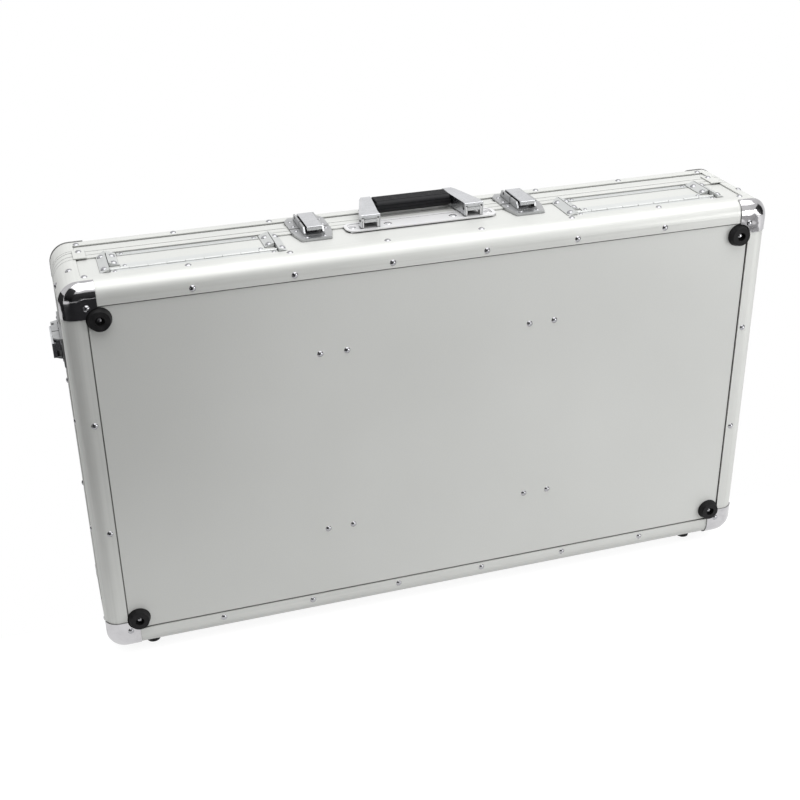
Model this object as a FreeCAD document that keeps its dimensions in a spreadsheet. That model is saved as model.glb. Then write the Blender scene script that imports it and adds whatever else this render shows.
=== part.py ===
import FreeCAD, Part
import Sketcher
import math
import os
import re

Vector = FreeCAD.Vector
Rotation = FreeCAD.Rotation

# A pedal case standing on its rear wall: +Z up towards the handle, the base's outside faces -Y, the lid +Y.
# Sizes are in millimetres. "Depth" is measured along Y from the base's outside; "inset" inwards from a wall.

SIZES = [
    ("case_length", 776.0),
    ("case_width", 436.0),
    ("case_depth", 136.0),
    ("base_depth", 80.0),
    ("closing_gap", 0.8),
    ("edge_radius", 15.5),
    ("corner_radius", 21.0),
    ("flange_width", 24.0),
    ("skin", 1.5),
    ("panel_thick", 5.5),
    ("shadow_width", 1.4),
    ("shadow_depth", 1.6),
    ("slot_floor", 15.2),
    ("post_flat", 3.5),
    ("margin", 1.0),
    ("post_wall", 5.8),
    ("web_thick", 2.5),
    ("base_lip", 8.0),
    ("lid_lip", 15.0),
    ("inner_lip", 11.0),
    ("tongue_height", 3.0),
    ("tongue_inset", 3.0),
    ("tongue_thick", 2.0),
    ("tongue_play", 1.0),
    ("seam_gap", 0.6),
    ("groove_start", 9.4),
    ("groove_width", 0.9),
    ("groove_depth", 0.5),
    ("cap_reach", 36.0),
    ("cap_return", 10.0),
    ("cap_skin", 1.2),
    ("rivet_inset", 18.0),
    ("rivet_pitch", 103.4),
    ("side_rivet_span", 129.8),
    ("rivet_head_radius", 3.4),
    ("rivet_head_height", 1.7),
    ("rivet_shank_radius", 1.6),
    ("rivet_hold", 1.0),
    ("small_rivet_radius", 2.3),
    ("small_rivet_height", 1.0),
    ("hole_play", 0.05),
    ("post_rivet_depth", 45.0),
    ("post_rivet_inset", 15.0),
    ("corner_rivet_inset", 28.3),
    ("corner_rivet_depth", 20.4),
    ("cap_rivet_gap", 1.2),
    ("cap_rivet_angle", 51.5),
    ("foot_inset_x", 36.3),
    ("foot_inset_z", 38.2),
    ("foot_radius", 12.75),
    ("foot_tip_radius", 10.4),
    ("foot_height", 7.5),
    ("foot_seat_play", 0.3),
    ("foot_recess_radius", 4.8),
    ("foot_recess_depth", 4.2),
    ("rear_foot_inset", 51.0),
    ("rear_foot_depth", 30.0),
    ("rear_foot_radius", 9.0),
    ("rear_foot_tip_radius", 7.5),
    ("rear_foot_height", 13.5),
    ("rear_foot_recess", 6.0),
    ("screw_head_radius", 3.6),
    ("screw_head_height", 1.5),
    ("handle_screw_radius", 4.4),
    ("handle_screw_height", 1.2),
    ("screw_shank_radius", 1.9),
    ("screw_hold", 2.9),
    ("flap_inset", 138.5),
    ("flap_half", 84.0),
    ("flap_side_gap", 0.8),
    ("flap_thick", 5.0),
    ("flap_ledge", 4.8),
    ("flap_top_play", 1.4),
    ("jamb_width", 9.2),
    ("jamb_gap", 0.5),
    ("shoulder_drop", 7.0),
    ("jamb_rivet_gap", 9.0),
    ("stile_rivet_step", 4.5),
    ("upper_rivet_drop", 12.0),
    ("stile_gap", 19.0),
    ("stile_width", 10.0),
    ("ridge_height", 3.2),
    ("ridge_toe", 1.0),
    ("flap_axis_gap", 8.0),
    ("flap_axis_rise", -0.6),
    ("flap_knuckle_radius", 1.7),
    ("flap_pin_radius", 0.9),
    ("pin_play", 0.05),
    ("flap_leaf_thick", 1.0),
    ("flap_leaf_width", 14.0),
    ("leaf_gap", 1.0),
    ("fixed_leaf_width", 7.6),
    ("flap_rest_gap", 0.3),
    ("leaf_rivet_inset", 4.3),
    ("flap_cap_width", 8.0),
    ("flap_cap_rivet", 3.0),
    ("flap_cap_sheet", 0.6),
    ("flap_knuckle_count", 9.0),
    ("knuckle_gap", 0.4),
    ("handle_plate_half", 84.5),
    ("handle_plate_low", -27.0),
    ("handle_plate_high", -0.6),
    ("handle_plate_proud", 1.2),
    ("handle_dish", 0.5),
    ("handle_rim", 3.8),
    ("handle_plate_round", 10.0),
    ("handle_screw_far", 76.5),
    ("handle_screw_near", 36.7),
    ("handle_axis_depth", -18.5),
    ("handle_axis_rise", 8.8),
    ("handle_pin_radius", 1.5),
    ("arm_low", -22.0),
    ("arm_high", 37.0),
    ("arm_knee", -14.0),
    ("arm_bend", 30.0),
    ("arm_outer", 68.7),
    ("arm_inner", 47.3),
    ("arm_outer_tip", 55.9),
    ("arm_inner_tip", 41.4),
    ("arm_base_rise", 2.2),
    ("arm_tip_step", 3.5),
    ("arm_lip_rise", 7.0),
    ("arm_line_rise", 10.6),
    ("arm_line_height", 0.8),
    ("arm_line_depth", 0.5),
    ("arm_top_rise", 15.5),
    ("arm_wall", 1.3),
    ("lug_thick", 1.6),
    ("lug_radius", 3.4),
    ("lug_play", 0.4),
    ("grip_half", 41.2),
    ("grip_rib_radius", 0.9),
    ("grip_low", 9.0),
    ("grip_high", 33.5),
    ("grip_base_rise", 3.6),
    ("grip_top_rise", 17.0),
    ("grip_round", 5.0),
    ("rod_radius", 3.5),
    ("rod_depth", 21.0),
    ("rod_rise", 9.5),
    ("latch_front_x", 119.5),
    ("latch_side_z", 129.0),
    ("latch_half", 21.5),
    ("strike_low", -34.0),
    ("strike_waist", -11.0),
    ("strike_tip_half", 16.0),
    ("latch_end_gap", 0.4),
    ("latch_top_half", 16.0),
    ("latch_plate_high", 36.0),
    ("latch_plate_waist", 27.0),
    ("latch_sheet", 1.6),
    ("ear_gap", 1.2),
    ("ear_thick", 1.8),
    ("ear_rise", 9.0),
    ("ear_toe", -22.0),
    ("ear_toe_rise", 3.5),
    ("ear_toe_run", 4.5),
    ("ear_heel", 26.0),
    ("ear_heel_run", 4.0),
    ("rim_low", -24.6),
    ("rim_width", 3.0),
    ("rim_rise", 2.4),
    ("latch_rivet_x", 16.2),
    ("strike_rivet_depth", -6.5),
    ("strike_rivet_x", 9.5),
    ("strike_rivet_low", -29.4),
    ("plate_rivet_low", 8.0),
    ("plate_rivet_high", 23.0),
    ("catch_low", -9.8),
    ("catch_high", -5.0),
    ("catch_rise", 6.0),
    ("lever_axis_depth", 20.0),
    ("lever_axis_rise", 7.0),
    ("lever_pin_radius", 1.5),
    ("lever_barrel_radius", 4.0),
    ("lever_half", 8.0),
    ("lever_sheet", 1.4),
    ("lever_edge", 0.7),
    ("lever_low", -24.5),
    ("lever_lip", 4.0),
    ("claw_high", -11.0),
    ("claw_base_rise", 2.2),
    ("cheek_low", -8.0),
    ("cheek_knee", -1.0),
    ("cheek_base_rise", 3.5),
    ("hinge_inset", 160.0),
    ("hinge_length", 60.0),
    ("hinge_leaf_gap", 3.2),
    ("hinge_leaf_thick", 1.5),
    ("hinge_radius", 3.6),
    ("hinge_pin_radius", 1.8),
    ("hinge_clear", 0.4),
    ("hinge_knuckle_count", 5.0),
    ("hinge_rivet_inset", 9.5),
    ("deck_gap", 12.0),
    ("deck_low", 22.0),
    ("deck_thick", 9.0),
    ("loop_thick", 1.4),
    ("bracket_x", 117.9),
    ("bracket_z", 108.3),
    ("bracket_rivet_span", 29.2),
    ("bracket_length", 46.0),
    ("bracket_width", 24.0),
    ("bracket_sheet", 1.6),
    ("bracket_top_half", 10.6),
    ("foam_gap", 10.0),
    ("foam_thick", 22.0),
    ("clip_inset", 28.7),
    ("clip_length", 12.6),
    ("clip_overlap", 10.3),
    ("clip_reach", 15.2),
    ("clip_thick", 1.2),
    ("clip_play", 0.4),
    ("clip_rivet_reach", 9.2),
]

doc = FreeCAD.newDocument("pedal_case")
sheet = doc.addObject("Spreadsheet::Sheet", "dims")
for row, (alias, number) in enumerate(SIZES, start=1):
    sheet.set("A%d" % row, alias)
    sheet.set("B%d" % row, str(number))
    sheet.setAlias("B%d" % row, alias)
doc.recompute()
CELLS = {alias: float(sheet.get(alias)) for alias, _ in SIZES}

# Sizes that follow from others.
DERIVED = {
    "rivet_shank": "(panel_thick+rivet_hold)",
    "screw_shank": "(panel_thick+screw_hold)",
    "post_reach": "(corner_radius+post_flat)",
    "jamb_low": "(flange_width+jamb_gap)",
    "jamb_rivet_depth": "(flange_width+jamb_rivet_gap)",
    "stile_low": "(flange_width+stile_gap)",
    "flap_axis_depth": "(flange_width+flap_axis_gap)",
    "hinge_leaf_reach": "(case_depth-base_depth-closing_gap-flange_width-hinge_leaf_gap)",
    "hinge_rivet_reach": "(hinge_leaf_reach-hinge_rivet_inset)",
    "flap_centre": "(case_length/2-flap_inset)",
    "rear_foot_x": "(case_length/2-rear_foot_inset)",
    "hinge_x": "(case_length/2-hinge_inset)",
    "clip_x": "(case_length/2-clip_inset)",
    "flap_leaf_half": "(flap_half-stile_width-leaf_gap)",
    "flap_leaf_step": "(flap_knuckle_radius+knuckle_gap)",
    "ear_inset": "(lever_half+ear_gap)",
    "catch_half": "(lever_half-lever_sheet-ear_gap)",
    "jamb_shoulder": "(base_depth-shoulder_drop)",
    "clip_low": "(base_depth+closing_gap-clip_overlap)",
    "clip_high": "(base_depth+closing_gap+clip_reach)",
    "clip_rivet_depth": "(base_depth+closing_gap+clip_rivet_reach)",
}
# The handle's depths are kept from the base's rim.
for size in ("handle_plate_low", "handle_plate_high", "handle_axis_depth", "arm_low", "arm_high", "arm_knee",
             "arm_bend", "grip_low", "grip_high", "rod_depth"):
    DERIVED[size] = "(base_depth+dims_%s)" % size

# Derived places, written as expressions in the sheet's names.
HALF_X = "case_length/2"
HALF_Z = "case_width/2"
LIFT = "(case_width/2+rear_foot_height)"
MIDDLE = "((case_depth+cap_skin+rivet_head_height+skin-foot_height)/2)"
PANEL_INSIDE = "(skin+panel_thick)"
LID_START = "(base_depth+closing_gap)"
RAIL_INSIDE = "(skin+panel_thick+skin)"
WORD = re.compile(r"[a-z][a-z_]+")


def swap(expression, worded):
    """The expression with derived sizes spelled out and every sheet name put through a function."""
    spelled = str(expression)
    while any(name in DERIVED for name in WORD.findall(spelled)):
        spelled = WORD.sub(lambda m: DERIVED.get(m.group(0), m.group(0)), spelled)
    spelled = spelled.replace("dims_", "")
    return WORD.sub(lambda m: worded(m.group(0)) if m.group(0) in CELLS else m.group(0), spelled)


def text(expression):
    """The expression with its names turned into references to the sheet."""
    return swap(expression, lambda name: "dims." + name)


def value(expression):
    """The expression's number, for shapes that are set directly."""
    return float(FreeCAD.Units.Quantity(swap(expression, lambda name: repr(CELLS[name]))).Value)


def place(item, x, y, z, framed=True, turn=None):
    """Bind an object's position; framed moves it from the case's own frame to the part's frame."""
    if turn is not None:
        item.Placement = FreeCAD.Placement(Vector(0, 0, 0), turn)
    item.setExpression("Placement.Base.x", text(x))
    item.setExpression("Placement.Base.y", text("(%s)-%s" % (y, MIDDLE) if framed else y))
    item.setExpression("Placement.Base.z", text("(%s)+%s" % (z, LIFT) if framed else z))
    return item


def box(x, y, z, framed=True):
    """Box between pairs of limits, each an expression."""
    item = doc.addObject("Part::Box", "box")
    for size, (low, high) in zip(("Length", "Width", "Height"), (x, y, z)):
        item.setExpression(size, text("(%s)-(%s)" % (high, low)))
    return place(item, x[0], y[0], z[0], framed)


TURNS = {"x": Rotation(Vector(0, 0, 1), Vector(1, 0, 0)),
         "y": Rotation(Vector(0, 0, 1), Vector(0, 1, 0)),
         "-y": Rotation(Vector(0, 0, 1), Vector(0, -1, 0)),
         "-z": Rotation(Vector(0, 0, 1), Vector(0, 0, -1)),
         "z": Rotation()}


def cylinder(radius, length, start, along, framed=True):
    """Cylinder from the middle of its first end."""
    item = doc.addObject("Part::Cylinder", "cylinder")
    item.setExpression("Radius", text(radius))
    item.setExpression("Height", text(length))
    return place(item, start[0], start[1], start[2], framed, TURNS[along])


def cone(radius, tip_radius, length, start, along, framed=True):
    """Cone from the middle of its wide end."""
    item = doc.addObject("Part::Cone", "cone")
    item.setExpression("Radius1", text(radius))
    item.setExpression("Radius2", text(tip_radius))
    item.setExpression("Height", text(length))
    return place(item, start[0], start[1], start[2], framed, TURNS[along])


def fuse(items):
    """One solid from several that overlap or touch."""
    if len(items) == 1:
        return items[0]
    item = doc.addObject("Part::MultiFuse", "fuse")
    item.Shapes = items
    return item


def group(items):
    """Several separate solids kept together."""
    item = doc.addObject("Part::Compound", "group")
    item.Links = items
    return item


def cut(base, tools):
    """The base with the tools taken away."""
    item = doc.addObject("Part::Cut", "cut")
    item.Base = base
    item.Tool = group(tools) if len(tools) > 1 else tools[0]
    return item


def common(base, tool):
    """What two shapes share."""
    item = doc.addObject("Part::Common", "common")
    item.Base = base
    item.Tool = tool
    return item


def plane_of(body, role):
    """The body's own origin plane."""
    for feature in body.Origin.OriginFeatures:
        if feature.Role == role:
            return feature
    raise ValueError(role)


PLANES = {"x": "YZ_Plane", "y": "XZ_Plane", "z": "XY_Plane"}


def outline(body, role, points):
    """Closed sketch of straight sides; every corner is bound to the sheet."""
    sketch = body.newObject("Sketcher::SketchObject", "outline")
    sketch.AttachmentSupport = (plane_of(body, role), [""])
    sketch.MapMode = "FlatFace"
    spots = [Vector(value(u), value(v), 0) for u, v in points]
    count = len(spots)
    for index in range(count):
        sketch.addGeometry(Part.LineSegment(spots[index], spots[(index + 1) % count]), False)
    for index in range(count):
        following = (index + 1) % count
        sketch.addConstraint(Sketcher.Constraint("Coincident", index, 2, following, 1))
    for index, (u, v) in enumerate(points):
        across = sketch.addConstraint(Sketcher.Constraint("DistanceX", -1, 1, index, 1, spots[index].x))
        sketch.setExpression("Constraints[%d]" % across, text(u))
        upward = sketch.addConstraint(Sketcher.Constraint("DistanceY", -1, 1, index, 1, spots[index].y))
        sketch.setExpression("Constraints[%d]" % upward, text(v))
    return sketch


def prism(axis, points, start, end, framed=True, turn=None):
    """Body with an outline padded along an axis: x takes (y, z) points, y takes (x, z), z takes (x, y)."""
    body = doc.addObject("PartDesign::Body", "body")
    sketch = outline(body, PLANES[axis], points)
    side = "-(%s)" % start if axis == "y" else start
    sketch.setExpression("AttachmentOffset.Base.z", text(side))
    pad = body.newObject("PartDesign::Pad", "pad")
    pad.Profile = sketch
    pad.Reversed = axis == "y"
    pad.setExpression("Length", text("(%s)-(%s)" % (end, start)))
    body.Tip = pad
    place(body, 0, 0, 0, framed, turn)
    return body


def rounded(body, chosen, radius):
    """Fillet those edges of the body's last feature that the test picks."""
    doc.recompute()
    last = body.Tip
    names = ["Edge%d" % (n + 1) for n, edge in enumerate(last.Shape.Edges) if chosen(edge)]
    fillet = body.newObject("PartDesign::Fillet", "fillet")
    fillet.Base = (last, names)
    fillet.setExpression("Radius", text(radius))
    body.Tip = fillet
    return body


def along(edge, axis):
    """Whether a straight edge runs along an axis."""
    if edge.Curve.TypeId != "Part::GeomLine":
        return False
    way = edge.tangentAt(edge.FirstParameter)
    return abs(getattr(way, axis)) > 0.999


def rectangle(x_low, x_high, y_low, y_high):
    """Corners of a rectangle as expressions."""
    return [(x_low, y_low), (x_high, y_low), (x_high, y_high), (x_low, y_high)]


parts = {}


def keep(name, item):
    """Name a finished sub-part."""
    item.Label = name
    parts[name] = item
    return item


def solid_set(name, shapes):
    """A sub-part of several separate solids whose shapes come from the sheet's values."""
    item = doc.addObject("Part::Feature", name)
    item.Shape = Part.makeCompound(shapes)
    return item


# ---------------------------------------------------------------- the shells of base and lid
# The lid's face, edges, posts and caps are the base's own, turned half round about Z onto the far side.

HALF_TURN = Rotation(Vector(0, 0, 1), 180)
SIDES = ("-1", "1")


def settle(item, lid):
    """Leave a finished base shape in place, or turn it half round onto the lid's side."""
    if lid:
        item.Placement = FreeCAD.Placement(Vector(0, 0, 0), HALF_TURN)
        item.setExpression("Placement.Base.y", text("case_depth-2*%s" % MIDDLE))
    return item


def limits(sign, near, far):
    """A pair of limits on one side of the middle, low first."""
    if sign == "1":
        return (near, far)
    return ("-(%s)" % far, "-(%s)" % near)


def flat_edge(edge, axis, place_at):
    """Whether an edge lies in the plane where an axis has one value."""
    bound = edge.BoundBox
    low = getattr(bound, axis + "Min")
    high = getattr(bound, axis + "Max")
    return abs(low - place_at) < 0.02 and abs(high - place_at) < 0.02


def block(grow, depth):
    """Rounded block of the case's outline, grown outwards, from its outside face to a depth."""
    wide = "(%s+(%s))" % (HALF_X, grow)
    high = "(%s+(%s))" % (HALF_Z, grow)
    body = prism("y", rectangle("-" + wide, wide, "-" + high, high), "-(%s)" % grow, depth)
    rounded(body, lambda edge: along(edge, "y"), "corner_radius+(%s)" % grow)
    low = value("-(%s)" % grow)
    return rounded(body, lambda edge: flat_edge(edge, "Y", low), "edge_radius+(%s)" % grow)


def corner_boxes(reach, outside, depth):
    """Boxes round the four corners."""
    boxes = []
    for side in SIDES:
        for end in SIDES:
            x = limits(side, "%s-%s" % (HALF_X, reach), "%s+%s" % (HALF_X, outside))
            z = limits(end, "%s-%s" % (HALF_Z, reach), "%s+%s" % (HALF_Z, outside))
            boxes.append(box(x, ("-(%s)" % outside, depth), z))
    return boxes


def foot_seats():
    """Clearance round the four base feet through the caps and flanges."""
    holes = []
    for side in SIDES:
        for end in SIDES:
            centre = ("%s*(%s-foot_inset_x)" % (side, HALF_X), "-2*cap_skin",
                      "%s*(%s-foot_inset_z)" % (end, HALF_Z))
            holes.append(cylinder("foot_radius+foot_seat_play", "2*cap_skin+skin", centre, "y"))
    return holes


def edge_section(sign, half):
    """Edge extrusion's section as (depth, height) points: flanges outside, two slots inside."""
    points = [("0", "flange_width"), ("0", "0"), ("flange_width", "0"), ("flange_width", "skin"),
              ("slot_floor", "skin"), ("slot_floor", PANEL_INSIDE), ("flange_width", PANEL_INSIDE),
              ("flange_width", RAIL_INSIDE), (RAIL_INSIDE, RAIL_INSIDE), (RAIL_INSIDE, "flange_width"),
              (PANEL_INSIDE, "flange_width"), (PANEL_INSIDE, "slot_floor"), ("skin", "slot_floor"),
              ("skin", "flange_width")]
    return [(depth, "%s*(%s-%s)" % (sign, half, inset)) for depth, inset in points]


def edge_bar(wall, sign):
    """One straight edge extrusion: wall z runs along X, wall x runs along Z."""
    if wall == "z":
        reach = "(%s-post_reach)" % HALF_X
        body = prism("x", edge_section(sign, HALF_Z), "-" + reach, reach)
        corner = value("%s*%s" % (sign, HALF_Z))
        return rounded(body, lambda e: along(e, "x") and flat_edge(e, "Y", 0) and flat_edge(e, "Z", corner),
                       "edge_radius")
    reach = "(%s-post_reach)" % HALF_Z
    body = prism("z", [(height, depth) for depth, height in edge_section(sign, HALF_X)], "-" + reach, reach)
    corner = value("%s*%s" % (sign, HALF_X))
    return rounded(body, lambda e: along(e, "z") and flat_edge(e, "Y", 0) and flat_edge(e, "X", corner),
                   "edge_radius")


def wall_panel(wall, sign, low, high, shadow):
    """Wall panel between two depths, on one side of the case, with a shadow groove beside its flange."""
    half = HALF_Z if wall == "z" else HALF_X
    across = limits(sign, "%s-%s" % (half, PANEL_INSIDE), "%s-skin" % half)
    shallow = limits(sign, "%s-skin-shadow_depth" % half, "%s-skin+margin" % half)
    if wall == "z":
        reach = "(%s-post_reach)" % HALF_X
        over = ("-%s-margin" % reach, "%s+margin" % reach)
        return cut(box(("-" + reach, reach), (low, high), across), [box(over, shadow, shallow)])
    reach = "(%s-post_reach)" % HALF_Z
    over = ("-%s-margin" % reach, "%s+margin" % reach)
    return cut(box(across, (low, high), ("-" + reach, reach)), [box(shallow, shadow, over)])


def face_shadows():
    """Shadow grooves of the large panel, one beside each flange."""
    deep = ("skin-margin", "skin+shadow_depth")
    grooves = []
    for sign in SIDES:
        along_x = "(%s-flange_width)" % HALF_X
        along_z = "(%s-flange_width)" % HALF_Z
        grooves.append(box(("-" + along_x, along_x), deep, limits(sign, along_z + "-shadow_width", along_z)))
        grooves.append(box(limits(sign, along_x + "-shadow_width", along_x), deep, ("-" + along_z, along_z)))
    return grooves


BASE_WEB = "(base_depth-web_thick)"
GROOVE_FLOOR = "(%s+tongue_height+tongue_play)" % LID_START
LID_WEB = "(%s+web_thick)" % GROOVE_FLOOR


def rail_section(kind):
    """Closing profile's section as (inset, depth) points: the base's has a tongue, the lid's a groove."""
    if kind == "base":
        return [("0", "base_depth-base_lip"), ("skin", "base_depth-base_lip"), ("skin", BASE_WEB),
                (PANEL_INSIDE, BASE_WEB), (PANEL_INSIDE, "%s-inner_lip" % BASE_WEB),
                (RAIL_INSIDE, "%s-inner_lip" % BASE_WEB), (RAIL_INSIDE, "base_depth"),
                ("tongue_inset+tongue_thick", "base_depth"),
                ("tongue_inset+tongue_thick", "base_depth+tongue_height"),
                ("tongue_inset", "base_depth+tongue_height"), ("tongue_inset", "base_depth"),
                ("0", "base_depth")]
    lip = "(%s+lid_lip)" % LID_START
    groove = "(%s+groove_start)" % LID_START
    near = "(tongue_inset-tongue_play)"
    far = "(tongue_inset+tongue_thick+tongue_play)"
    return [("0", LID_START), (near, LID_START), (near, GROOVE_FLOOR), (far, GROOVE_FLOOR), (far, LID_START),
            (RAIL_INSIDE, LID_START), (RAIL_INSIDE, "%s+inner_lip" % LID_WEB),
            (PANEL_INSIDE, "%s+inner_lip" % LID_WEB), (PANEL_INSIDE, LID_WEB),
            ("skin", LID_WEB), ("skin", lip), ("0", lip),
            ("0", "%s+groove_width" % groove), ("groove_depth", "%s+groove_width" % groove),
            ("groove_depth", groove), ("0", groove)]


def rail_bar(kind, wall, sign, start, end):
    """Straight length of closing profile along one wall."""
    half = HALF_Z if wall == "z" else HALF_X
    points = [(depth, "%s*(%s-(%s))" % (sign, half, inset)) for inset, depth in rail_section(kind)]
    if wall == "z":
        return prism("x", points, start, end)
    return prism("z", [(across, depth) for depth, across in points], start, end)


def rail_bend(kind, side, end, turn):
    """Quarter bend of closing profile round one corner."""
    body = doc.addObject("PartDesign::Body", "body")
    sketch = outline(body, "XY_Plane", [("corner_radius-(%s)" % inset, depth) for inset,
                                        depth in rail_section(kind)])
    bend = body.newObject("PartDesign::Revolution", "bend")
    bend.Profile = sketch
    bend.ReferenceAxis = (sketch, ["V_Axis"])
    bend.Angle = 90
    body.Tip = bend
    centre_x = "%s*(%s-corner_radius)" % (side, HALF_X)
    centre_z = "%s*(%s-corner_radius)" % (end, HALF_Z)
    return place(body, centre_x, "0", centre_z, True, Rotation(Vector(0, 1, 0), turn))


BENDS = (("1", "-1", 0), ("1", "1", -90), ("-1", "1", 180), ("-1", "-1", 90))


def closing_rails(kind, spans):
    """All lengths of one closing profile; spans are the front wall's stretches."""
    reach_x = "(%s-corner_radius)" % HALF_X
    reach_z = "(%s-corner_radius)" % HALF_Z
    pieces = [rail_bar(kind, "z", "1", start, end) for start, end in spans]
    pieces.append(rail_bar(kind, "z", "-1", "-" + reach_x, reach_x))
    for sign in SIDES:
        pieces.append(rail_bar(kind, "x", sign, "-" + reach_z, reach_z))
    for side, end, turn in BENDS:
        pieces.append(rail_bend(kind, side, end, turn))
    return group(pieces)


# ---------------------------------------------------------------- fasteners

def dome(radius, height, shank_radius, shank):
    """Domed head above z = 0 with a shank below it."""
    ball = (radius * radius + height * height) / (2 * height)
    head = Part.makeSphere(ball, Vector(0, 0, height - ball)).common(Part.makeCylinder(radius, height))
    return head.fuse(Part.makeCylinder(shank_radius, shank, Vector(0, 0, -shank))).removeSplitter()


def rivet():
    """A structural rivet."""
    return dome(value("rivet_head_radius"), value("rivet_head_height"), value("rivet_shank_radius"),
                value("rivet_shank"))


def small_rivet():
    """A low rivet of the hinge leaves and latches."""
    return dome(value("small_rivet_radius"), value("small_rivet_height"), value("rivet_shank_radius"),
                value("rivet_shank"))


def rivet_hole():
    """The hole either rivet needs."""
    return Part.makeCylinder(value("rivet_shank_radius+hole_play"), value("rivet_shank"),
                             Vector(0, 0, -value("rivet_shank")))


def screw(kind, shank):
    """A domed screw with its own shank length; kind picks the head."""
    return dome(value(kind + "_radius"), value(kind + "_height"), value("screw_shank_radius"), shank)


def screw_hole(shank):
    """The hole a screw needs."""
    return Part.makeCylinder(value("screw_shank_radius+hole_play"), shank, Vector(0, 0, -shank))


def copies(shape, spots):
    """Copies of a shape at (point, direction) pairs of the case's own frame."""
    made = []
    for point, way in spots:
        copy = shape.copy()
        copy.Placement = FreeCAD.Placement(Vector(*point), Rotation(Vector(0, 0, 1), Vector(*way)))
        made.append(copy)
    return made


def solid_set(shapes):
    """Several separate solids, placed in the part's frame."""
    item = doc.addObject("Part::Feature", "set")
    item.Shape = Part.makeCompound(shapes)
    return place(item, "0", "0", "0")


def row(count, pitch):
    """Evenly spaced places about zero."""
    return [(index - (count - 1) / 2.0) * pitch for index in range(count)]


half_x = value(HALF_X)
half_z = value(HALF_Z)
LONG_ROW_COUNT = 6
SHORT_ROW_COUNT = 2


def round_spot(inset):
    """Place on the round of a corner post: inset from one wall, the height below the other, and the lean."""
    radius = value("corner_radius")
    run = max(radius - inset, 0)
    rise = math.sqrt(radius * radius - run * run)
    return radius - rise, run / radius, rise / radius


def shell_spots():
    """Rivets of one half's flanges and caps, as seen on the base; a cap's rivet stands clear of the foot."""
    inset = value("rivet_inset")
    reach = value("foot_radius+rivet_head_radius+cap_rivet_gap")
    angle = math.radians(value("cap_rivet_angle"))
    across = reach * math.cos(angle)
    upward = reach * math.sin(angle)
    spots = []
    for sign in (-1, 1):
        for x in row(LONG_ROW_COUNT, value("rivet_pitch")):
            spots.append(((x, 0, sign * (half_z - inset)), (0, -1, 0)))
            spots.append(((x, inset, sign * half_z), (0, 0, sign)))
        for z in row(SHORT_ROW_COUNT, value("side_rivet_span")):
            spots.append(((sign * (half_x - inset), 0, z), (0, -1, 0)))
            spots.append(((sign * half_x, inset, z), (sign, 0, 0)))
        for end in (-1, 1):
            cap = (sign * (half_x - value("foot_inset_x") + across), -value("cap_skin"),
                   end * (half_z - value("foot_inset_z") + upward))
            spots.append((cap, (0, -1, 0)))
            near = (sign * (half_x - value("corner_rivet_inset")), value("corner_rivet_depth"), end * half_z)
            spots.append((near, (0, 0, end)))
    return spots


def post_spots():
    """Rivets of the base's corner posts; the lid's posts are too short for rivets of their own."""
    inset = value("post_rivet_inset")
    depth = value("post_rivet_depth")
    drop, lean, lift = round_spot(inset)
    spots = []
    for sign in (-1, 1):
        for end in (-1, 1):
            spots.append(((sign * (half_x - inset), depth, end * (half_z - drop)),
                          (sign * lean, 0, end * lift)))
            spots.append(((sign * (half_x - drop), depth, end * (half_z - inset)),
                          (sign * lift, 0, end * lean)))
    return spots


def turned(spots):
    """The same places turned half round onto the lid."""
    return [((-x, value("case_depth") - y, z), (-across, -depth, upward))
            for (x, y, z), (across, depth, upward) in spots]


FRONT = "front"
LATCHES = [("front_left", FRONT, "-latch_front_x"), ("front_right", FRONT, "latch_front_x"),
           ("left", "left", "latch_side_z"), ("right", "right", "latch_side_z")]
LATCH_TURN = {FRONT: Rotation(), "left": Rotation(Vector(0, 1, 0), -90),
              "right": Rotation(Vector(0, 1, 0), 90)}


def latch_home(side, offset):
    """Where a latch's own frame sits: x along the wall, y depth from the base's rim, z outwards."""
    if side == FRONT:
        return (offset, "base_depth", HALF_Z)
    return ("-" + HALF_X if side == "left" else HALF_X, "base_depth", offset)


def mount_latch(item, side, offset):
    """Put a latch piece on its wall."""
    x, y, z = latch_home(side, offset)
    return place(item, x, y, z, True, LATCH_TURN[side])


def latch_spots(places):
    """Rivets at (across, depth) places of every latch, on top of its plates."""
    spots = []
    for _, side, offset in LATCHES:
        home = Vector(*[value(axis) for axis in latch_home(side, offset)])
        turn = LATCH_TURN[side]
        way = turn.multVec(Vector(0, 0, 1))
        for across, depth in places:
            point = home + turn.multVec(Vector(across, depth, value("latch_sheet")))
            spots.append((tuple(point), tuple(way)))
    return spots


def hinge_spots(depth):
    """Rivets of the two lid hinges at one depth."""
    low = -half_z - value("hinge_leaf_thick")
    spots = []
    for side in (-1, 1):
        for x in row(3, value("hinge_length") / 3):
            spots.append(((side * value("hinge_x") + x, depth, low), (0, 0, -1)))
    return spots


def slope_spots(sign, near, far, depths, at):
    """Places on a ridge's slope, from its crest to its toe: sign picks the side of the flap."""
    rise = value("ridge_height+skin-ridge_toe")
    run = abs(far - near)
    angle = math.atan2(rise, run)
    lean = 1 if far > near else -1
    height = value("ridge_height") - rise * abs(at - near) / run
    return [((sign * at, depth, half_z + height), (sign * lean * math.sin(angle), 0, math.cos(angle)))
            for depth in depths]


def moved(spots, shift):
    """Places shifted along X."""
    return [((x + shift, y, z), way) for (x, y, z), way in spots]


OPENING = "(flap_half+flap_side_gap)"
opening = value(OPENING)
JAMB_OUT = "(%s+jamb_width)" % OPENING
UPPER_RIVET = value("base_depth-upper_rivet_drop")
JAMB_DEPTHS = (value("jamb_rivet_depth"), UPPER_RIVET)
STILE_DEPTHS = (value("stile_low+stile_rivet_step"), UPPER_RIVET)
RIDGE_RIVET_SHARE = 0.58
FLAP_SIGNS = {"left": "-1", "right": "1"}


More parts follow.
